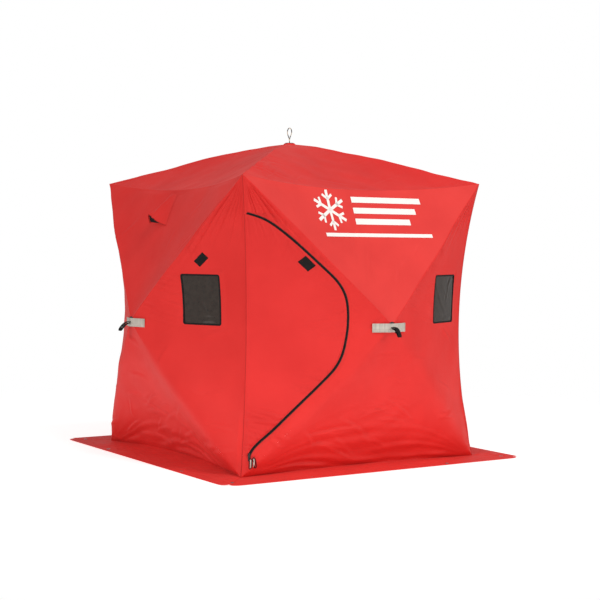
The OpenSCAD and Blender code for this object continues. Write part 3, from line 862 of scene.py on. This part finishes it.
def skirt_grid(k):
    rows, cols = (34, 210) if k in NEAR_WALLS else (22, 130)
    t = spread(cols, 0.25)[None, :]
    f = np.linspace(0, 1, rows)[:, None]
    inner_w = BASE_HALF - BASE_SAG * arch(t)
    far = SKIRT_HALF - SKIRT_CUT / 2 * np.abs(t) ** 40
    u, w = mix(BASE_HALF * t, t * far, f), mix(inner_w, far, f)
    lift = BASE_LIFT[k] * arch(t) * np.clip(1 - f / 0.45, 0, 1) ** 2
    seed = 170 + 7 * k
    waves = 4 * MM * np.clip(uneven_wave(u + 0.3 * w, 0.45, seed), 0, 1)
    waves = waves * ease(0.1, 0.6, f) * ease(1.05, 0.7, f)
    folds = 4 * MM * crest(uneven_wave(u * 0.55 + w, 0.13, seed + 1)) * ease(0.0, 0.25, f) * ease(1.0, 0.6, f)
    wander = 0.03 * uneven_wave(u, 0.4, seed + 2)
    creep = 3.5 * MM * crest(uneven_wave(w + wander, 0.09, seed + 3)) * ease(0, 0.2, f)
    curl = 3 * MM * ease(0.90, 1.0, np.abs(t)) * ease(0.6, 1.0, f) ** 2
    hem = 1.2 * MM * ease(1 - HEM / (SKIRT_HALF - BASE_HALF), 1 - 0.85 * HEM / (SKIRT_HALF - BASE_HALF), f)
    hold = ease(1.0, 0.97, np.abs(t))
    return u, w, lift + (waves + folds + creep * ease(1.0, 0.7, f)) * hold + hem + curl + 1.2 * MM


for k, wall in enumerate(WALLS):
    u, w, z = skirt_grid(k)
    points = hut_point(u, w, z, k)
    obj = grid_sheet(f"{wall}_skirt_cloth", points, np.stack([u, w], axis=-1), SKIRT_RED, (0, 0, 1))
    fasten(obj, [f"{wall}_skirt"])


# ---------------- sewn-on strips
def band(name, k, path, offsets, lifts, finish, nodes=(), ring=False, body=HUT):
    """A strip sewn on wall k along a path: offsets across it, and how proud each line of it stands."""
    path = np.asarray(path, float)
    ahead = heading(path, ring)
    side = np.stack([ahead[:, 1], -ahead[:, 0]], axis=1) / np.linalg.norm(ahead, axis=1)[:, None]
    offsets = np.asarray(offsets)[:, None] * MM
    lifts = np.asarray(lifts)[:, None] * MM
    u = path[:, 0] + side[:, 0] * offsets
    z = path[:, 1] + side[:, 1] * offsets
    uv = np.stack([gone_along(path)[None, :] + 0 * u, offsets + 0 * u], axis=-1)
    obj = grid_sheet(name, cloth_points(u, z, k, lifts), uv, finish, wall_direction(k), ring)
    return fasten(obj, nodes, body)


def window_loop(grow, r, n, k):
    """A rounded rectangle round the window: top, right, bottom, then left side, n points to a side."""
    half = np.array(WINDOW_HALF) + grow
    g = spread(n + 1, 0.5)[:-1]
    one = np.ones(n)
    sides = [(g, one), (one, -g), (-g, -one), (-one, g)]
    p = np.concatenate([np.stack(side, axis=1) for side in sides]) * half
    core = np.sign(p) * np.minimum(np.abs(p), half - r)
    away = p - core
    return np.array([WINDOW_ACROSS[k], WINDOW_Z]) + core + r * away / np.linalg.norm(away, axis=1)[:, None]


pane_nodes = ["window_panes"]
binding_nodes = ["window_bindings"]
for k, wall in enumerate(WALLS):
    x, y = np.meshgrid(np.linspace(-1, 1, 60), np.linspace(-1, 1, 70))
    u = WINDOW_ACROSS[k] + x * (WINDOW_HALF[0] + 6 * MM)
    z = WINDOW_Z + y * (WINDOW_HALF[1] + 6 * MM)
    pillow = 6 * MM * (arch(x) * arch(y)) ** 0.35
    slack = scattered_creases(u, z, (0.47, 0.95), (0.66, 1.14), 5, 1.9, 0.10, 1.6 * MM, 210 + k)
    centre = np.array([WINDOW_ACROSS[k], WINDOW_Z])
    slack += crease(u, z, centre + (0.050, -0.126), 0.03, 0.05, 0.010, 4.5 * MM)
    slack += crease(u, z, centre + (0.066, 0.108), 0.9, 0.035, 0.010, 4.0 * MM)
    slack *= (arch(x) * arch(y)) ** 0.3
    points = hut_point(u, wall_out(u, z, k) - 5 * MM + pillow + slack, z, k)
    pane = grid_sheet(f"{wall}_window_vinyl", points, np.stack([u, z], axis=-1), VINYL, wall_direction(k))
    fasten(pane, pane_nodes)
    loop = window_loop(0.5 * MM, 10 * MM, 44, k)
    band(f"{wall}_window_binding", k, loop, [-5, -4.5, -2, 2, 4.5, 5], [-1, 1.2, 2, 2, 1.2, -3], BLACK_TAPE,
         binding_nodes, ring=True)
    pane_nodes, binding_nodes = [], []

# ---------------- zipper and patches
band("zipper_wall_tape", 0, ZIPPER, [0.7, 1.2, 5.6, 6], [-1, 1.6, 1.6, -1], BLACK_TAPE,
     ["wall_zipper_tape"])
# the strip stands proud of the cloth; its greyish red is painted reflection along the flap's edge
band("zipper_piping", 0, ZIPPER, [6, 6.6, 7.8, 8.4], [-1, 1.8, 1.8, -1], EDGE_REFLECTION_PIPING)
fold_at_hinge(band("zipper_door_tape", 0, ZIPPER, [-6, -5.6, -1.2, -0.7], [-1, 1.6, 1.6, -1], BLACK_TAPE,
                   ["door_zipper_tape"], body=None))
band("zipper_coil", 0, ZIPPER, [-1.6, -1.1, 0, 1.1, 1.6], [0, 2.2, 2.7, 2.2, 0], BLACK_TAPE)


def add_patch(name, k, centre, half, turn, node, body=HUT):
    c, s = math.cos(math.radians(turn)), math.sin(math.radians(turn))
    x = np.concatenate([[-1], np.linspace(-0.98, 0.98, 12), [1]])[None, :]
    y = np.concatenate([[-1], np.linspace(-0.96, 0.96, 8), [1]])[:, None]
    edge = (np.abs(x) == 1) | (np.abs(y) == 1)
    u = centre[0] + x * half[0] * c - y * half[1] * s
    z = centre[1] + x * half[0] * s + y * half[1] * c
    lift = np.where(edge, -0.6, 2.2) * MM
    uv = np.stack([u, z], axis=-1)
    obj = grid_sheet(name, cloth_points(u, z, k, lift), uv, BLACK_TAPE, wall_direction(k))
    return fasten(obj, [node], body)


add_patch("left_wall_patch", 1, (0.554, 1.289), (0.042, 0.023), 41, "wall_patch")
fold_at_hinge(add_patch("door_flap_patch", 0, (-0.511, 1.272), (0.042, 0.026), -44, "door_patch", body=None))

# ---------------- corner seams and pole seams
ends = WALL_H * (spread(120, 0.2) + 1) / 2
for corner, (sx, sy) in enumerate(((-1, -1), (-1, 1), (1, 1), (1, -1))):
    m = seam_at(ends)
    path = np.stack([sx * m, sy * m, ends], axis=1)
    across = np.array([sx, -sy, 0]) / math.sqrt(2)
    piping = sweep(f"corner_piping_{corner + 1}", path, across, round_outline(2.2 * MM), SEAM_RED)
    fasten(piping)
for k, wall in enumerate(WALLS):
    for side, side_name in ((-1, "left"), (1, "right")):
        s = np.linspace(0.04, 0.985, 150)
        path = np.stack([side * TOP_HALF * s, mix(HUB_Z, WALL_H, s)], axis=1)
        band(f"{wall}_pole_seam_{side_name}", k, path, [-5, -4.4, 0, 4.4, 5], [-0.5, 0.6, 1.0, 0.6, -0.5],
             RED)

# ---------------- printed mark: a plain snow star and bars
STAR_AT = np.array([-0.27, 1.600])
STAR_R = 0.125
# each bar's start and stop across the wall, its height, and its width in mm
BARS = (
    (-0.09, 0.43, 1.668, 36), (-0.09, 0.37, 1.600, 36), (-0.09, 0.31, 1.532, 36), (-0.36, 0.44, 1.448, 22),
)


def strokes_of_mark():
    """Middle lines and widths of the mark's strokes, across and up."""
    strokes = []
    for turn in range(3):
        a = math.radians(60 * turn + 30)
        way = np.array([math.cos(a), math.sin(a)])
        strokes.append((STAR_AT - way * STAR_R, STAR_AT + way * STAR_R, 19))
        for end in (-1, 1):
            for tilt in (-1, 1):
                b = a + math.radians(52) * tilt
                tip = STAR_AT + way * 0.55 * STAR_R * end
                branch = np.array([math.cos(b), math.sin(b)]) * 0.36 * STAR_R * end
                strokes.append((tip, tip + branch, 15))
    return strokes + [((start, level), (stop, level), width) for start, stop, level, width in BARS]


marks = []
for n, (start, end, width) in enumerate(strokes_of_mark()):
    path = mix(np.asarray(start, float), np.asarray(end, float), np.linspace(0, 1, 90)[:, None])
    side = np.linspace(-width / 2, width / 2, 9)
    marks.append(band(f"printed_stroke_{n}", 0, path, side, 0 * side + 1.6, INK, body=None))
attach(joined("printed_mark", marks), HUT)

# ---------------- hubs' strips, straps and rings
STRIP_HALF = 125 * MM
strip_nodes, loop_nodes = ["reflective_strips"], ["pull_loops"]
for k, wall in enumerate(WALLS):
    u = np.linspace(-STRIP_HALF, STRIP_HALF, 60)
    w = HUB_W + 15.5 * MM - 0.385 * np.hypot(u, 26 * MM)
    path = hut_point(u, w, HUB_Z - 15 * MM, k)
    strip = sweep(f"{wall}_reflective_strip", path, (0, 0, 1), flat_outline(54 * MM, 2 * MM), REFLECTIVE)
    fasten(strip, strip_nodes)
    # a webbing strap that stands out of the hub, droops and comes back
    run = [(5, -12), (20, -10), (42, -17), (62, -33), (76, -52), (82, -64), (78, -70), (70, -66), (58, -50),
           (44, -33), (26, -23), (8, -20)]
    line = even_steps(smoothed(even_steps(np.array(run, float) * MM, 60), 6), 60)
    path = hut_point(0.004 * np.sin(line[:, 0] * 40), HUB_W + line[:, 0], HUB_Z + line[:, 1], k)
    strap = sweep(f"{wall}_pull_strap", path, hut_point(1.0, 0.0, 0.0, k), flat_outline(26 * MM, 3.4 * MM),
                  BLACK_TAPE)
    fasten(strap, loop_nodes)
    middle = np.array([52, -38]) * MM
    turn = np.linspace(0, 2 * math.pi, 40, endpoint=False)
    ring_u, ring_n = 16 * MM * np.cos(turn), 8 * MM * np.sin(turn)
    path = hut_point(ring_u, HUB_W + middle[0] + ring_n * 0.64, HUB_Z + middle[1] + ring_n * 0.77, k)
    way = hut_point(0.0, 0.77, -0.64, k)
    ring = sweep(f"{wall}_strap_slide", path, way, round_outline(3 * MM), NYLON, closed=True)
    fasten(ring)
    strip_nodes, loop_nodes = [], []

# ---------------- vents
# left and right ends of a hood's mouth and of its top, across and up the wall
MOUTH = ((-218 * MM, 1518 * MM), (-4 * MM, 1502 * MM))
VENT_TOP = ((-112 * MM, 1708 * MM), (-20 * MM, 1708 * MM))
# how far a hood stands out of the wall, and how far its lip is cut back upwards
VENT_OUT = 56 * MM
VENT_RISE = 64 * MM


def vent_swell(x, y):
    """How far the hood stands up, from 0 to 1: most near the left end of its mouth."""
    return np.sin(math.pi * x ** 0.45) ** 1.5 * (1 - y) ** 0.8


def vent_grid(x, y, rise):
    """Places of the hood across and up the wall; its lip is cut back upwards."""
    u = mix(mix(MOUTH[0][0], MOUTH[1][0], x), mix(VENT_TOP[0][0], VENT_TOP[1][0], x), y)
    z = mix(mix(MOUTH[0][1], MOUTH[1][1], x), VENT_TOP[0][1], y)
    return u, z + rise * vent_swell(x, y) * (1 - 0.6 * x) * (1 - y) ** 2


hood_nodes, screen_nodes = ["vent_hoods"], ["vent_screens"]
for k in (1, 3):
    x, y = np.linspace(0, 1, 60)[None, :], np.linspace(0, 1, 44)[:, None]
    u, z = vent_grid(x, y, VENT_RISE)
    crumple = scattered_creases(u, z, MOUTH[0], VENT_TOP[1], 14, 1.0, 0.05, 5 * MM, 230 + k)
    hood = cloth_points(u, z, k, 1.5 * MM + (VENT_OUT + crumple) * vent_swell(x, y))
    obj = grid_sheet(f"{WALLS[k]}_vent_hood", hood, np.stack(np.broadcast_arrays(u, z), axis=-1), RED,
                     wall_direction(k))
    fasten(obj, hood_nodes)
    wire = sweep(f"{WALLS[k]}_vent_rim", hood[0], (0, 0, 1), round_outline(2.6 * MM), SEAM_RED)
    fasten(wire)
    # the mesh screen closes the mouth, from the wall out to the lip
    depth = np.linspace(0.0, 0.97, 16)[:, None]
    u, z = vent_grid(x, 0.03 + 0 * x, VENT_RISE * depth)
    points = cloth_points(u, z, k, 1.5 * MM + (VENT_OUT - 4 * MM) * vent_swell(x, 0.03) * depth)
    obj = grid_sheet(f"{WALLS[k]}_vent_mesh", points, np.stack(np.broadcast_arrays(u, depth * 0.05), axis=-1),
                     SCREEN, (0, 0, -1))
    fasten(obj, screen_nodes)
    hood_nodes, screen_nodes = [], []

# ---------------- zipper sliders with their pulls
SLIDER = LOW_END + (0.002, -0.004)
pulls = []
for n, (across, low, tilt) in enumerate(((-9, -66, -2), (13, -62, 10))):
    turn = np.linspace(0, 2 * math.pi, 48, endpoint=False)
    loop_u = 7.5 * MM * np.cos(turn)
    loop_z = 7.5 * MM * np.sin(turn) + np.sign(np.sin(turn)) * 23 * MM
    u = SLIDER[0] + across * MM + loop_u + tilt * 0.0006 * (1 - loop_z / (30 * MM))
    z = SLIDER[1] + (low + 30) * MM + loop_z
    path = hut_point(u, cloth_w(SLIDER[0] + 20 * MM, z, 0, 9 * MM), z, 0)
    pulls.append(sweep(f"pull_{n}", path, (0, -1, 0), round_outline(2.8 * MM), BLACK_TAPE, closed=True))
    face_u, face_z = np.meshgrid(np.linspace(-1, 1, 3), np.linspace(-1, 1, 5))
    u = SLIDER[0] + across * MM + face_u * 5 * MM
    z = SLIDER[1] + (low + 30) * MM + face_z * 24 * MM
    w = cloth_w(SLIDER[0] + 20 * MM, z, 0, 9.6 * MM)
    plate = grid_sheet(f"plate_{n}", hut_point(u, w, z, 0), np.stack([u, z], axis=-1), REFLECTIVE, (0, -1, 0))
    pulls.append(plate)
body_path = hut_point(SLIDER[0] + 0 * ends[:9], wall_out(SLIDER[0], SLIDER[1], 0) + np.linspace(3, 6, 9) * MM,
                      SLIDER[1] + np.linspace(22, -24, 9) * MM, 0)
pulls.append(sweep("slider", body_path, (1, 0, 0), flat_outline(19 * MM, 9 * MM), NYLON))
sliders = joined("zipper_pulls", pulls)
fasten(sliders, ["zipper_sliders"])

# ---------------- roof cord
CORD_D = 6 * MM
CORD_ROUTE = (
    (0, 0, 2071), (0, 0, 2086), (-4, 0, 2102), (-11, 0, 2118), (-17, 0, 2135), (-17, 0, 2153), (-9, 0, 2169),
    (3, 0, 2173), (14, 0, 2163), (18, 1, 2146), (15, 2, 2130), (9, 4, 2116), (5, 6, 2102), (5, 7, 2086),
    (5, 7, 2071),
)
route = even_steps(smoothed(even_steps(np.array(CORD_ROUTE, float) * MM, 120), 8), 120)
cord = sweep("roof_cord", route, (0, 1, 0), round_outline(CORD_D / 2, 10), CORD)
fasten(cord, ["roof_cord_loop"])


# ---------------- finishes of the frame's own pieces
def dress(node, finish):
    """Gives a carried-over piece its finish."""
    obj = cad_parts[node]
    obj.data.materials.clear()
    obj.data.materials.append(finish)


for node, finish in {
    "wall_hubs": NYLON, "roof_hub": NYLON, "top_corner_sockets": NYLON, "bottom_corner_sockets": NYLON,
    "wall_poles": FIBREGLASS, "roof_poles": FIBREGLASS, "anchor_eyelets": ZINC,
}.items():
    dress(node, finish)


# ---------------- floor, light and camera
def paper_floor():
    """White paper floor that fades out well away from the hut, so that no edge of it shows."""
    finish, tree = new_finish("matt_white_paper")
    place = surface_place(tree, "Object")
    gone = add_node(tree, "ShaderNodeVectorMath", {"operation": "LENGTH"}, i0=place).outputs["Value"]
    clear = add_node(tree, "ShaderNodeMapRange", Value=gone, From_Min=1.9, From_Max=4.2, To_Min=1.0,
                     To_Max=0.0).outputs["Result"]
    finish_off(tree, Base_Color=colour_ramp(tree, cloudy(tree, place, 0.8), "#fbfbfb", "#ffffff"),
               Roughness=0.9, Alpha=clear, Emission_Color=linear("#ffffff"), Emission_Strength=0.5)
    return finish


def add_floor(size=5.0):
    corners = [(-size, -size, 0), (size, -size, 0), (size, size, 0), (-size, size, 0)]
    add_mesh("floor", corners, [(0, 1, 2, 3)], paper_floor())


def add_lamp(name, at, aim, size, watts, colour):
    data = bpy.data.lights.new(name, "AREA")
    data.size = size
    data.energy = watts
    data.color = linear(colour)[:3]
    lamp = bpy.data.objects.new(name, data)
    lamp.location = at
    lamp.rotation_euler = (Vector(aim) - Vector(at)).to_track_quat("-Z", "Y").to_euler()
    bpy.context.scene.collection.objects.link(lamp)


def add_light():
    """A white room that the camera sees at full strength, dimmer as light, with four soft lamps."""
    world = bpy.data.worlds.new("white_studio")
    world.use_nodes = True
    tree = world.node_tree
    sky = tree.nodes["Background"]
    seen = add_node(tree, "ShaderNodeLightPath").outputs["Is Camera Ray"]
    sky.inputs["Color"].default_value = linear("#ffffff")
    tree.links.new(between_values(tree, seen, 0.44, 1.0), sky.inputs["Strength"])
    bpy.context.scene.world = world
    bpy.context.scene.view_settings.view_transform = "Standard"
    add_lamp("key", (4.2, -8.6, 3.4), (0, -0.6, 1.0), 1.6, 205, "#fff8f0")
    add_lamp("side_fill", (-8.8, -4.2, 4.8), (-0.8, 0, 1.2), 1.4, 345, "#fff6f2")
    add_lamp("low_fill", (-1.0, -8.0, 0.6), (0, -0.5, 0.3), 2.0, 70, "#fff6f2")
    add_lamp("top_fill", (0.5, -4.0, 8.0), (0, 0, 1.6), 2.5, 175, "#ffffff")


def add_camera():
    azimuth = math.radians(-33.10)
    elevation = math.radians(2.29)
    roll = math.radians(0.56)
    distance = 9.411
    aim = Vector((0.069, -0.0435, 1.0097))
    away = Vector((math.sin(azimuth) * math.cos(elevation), -math.cos(azimuth) * math.cos(elevation),
                   math.sin(elevation)))
    right = Vector((0, 0, 1)).cross(away).normalized()
    up = away.cross(right)
    x = right * math.cos(roll) + up * math.sin(roll)
    y = up * math.cos(roll) - right * math.sin(roll)
    data = bpy.data.cameras.new("camera")
    data.lens = 83.15
    data.sensor_width = 36
    camera = bpy.data.objects.new("camera", data)
    turn = Matrix((x, y, away)).transposed().to_4x4()
    camera.matrix_world = Matrix.Translation(aim + away * distance) @ turn
    bpy.context.scene.collection.objects.link(camera)
    bpy.context.scene.camera = camera


add_floor()
add_light()
add_camera()
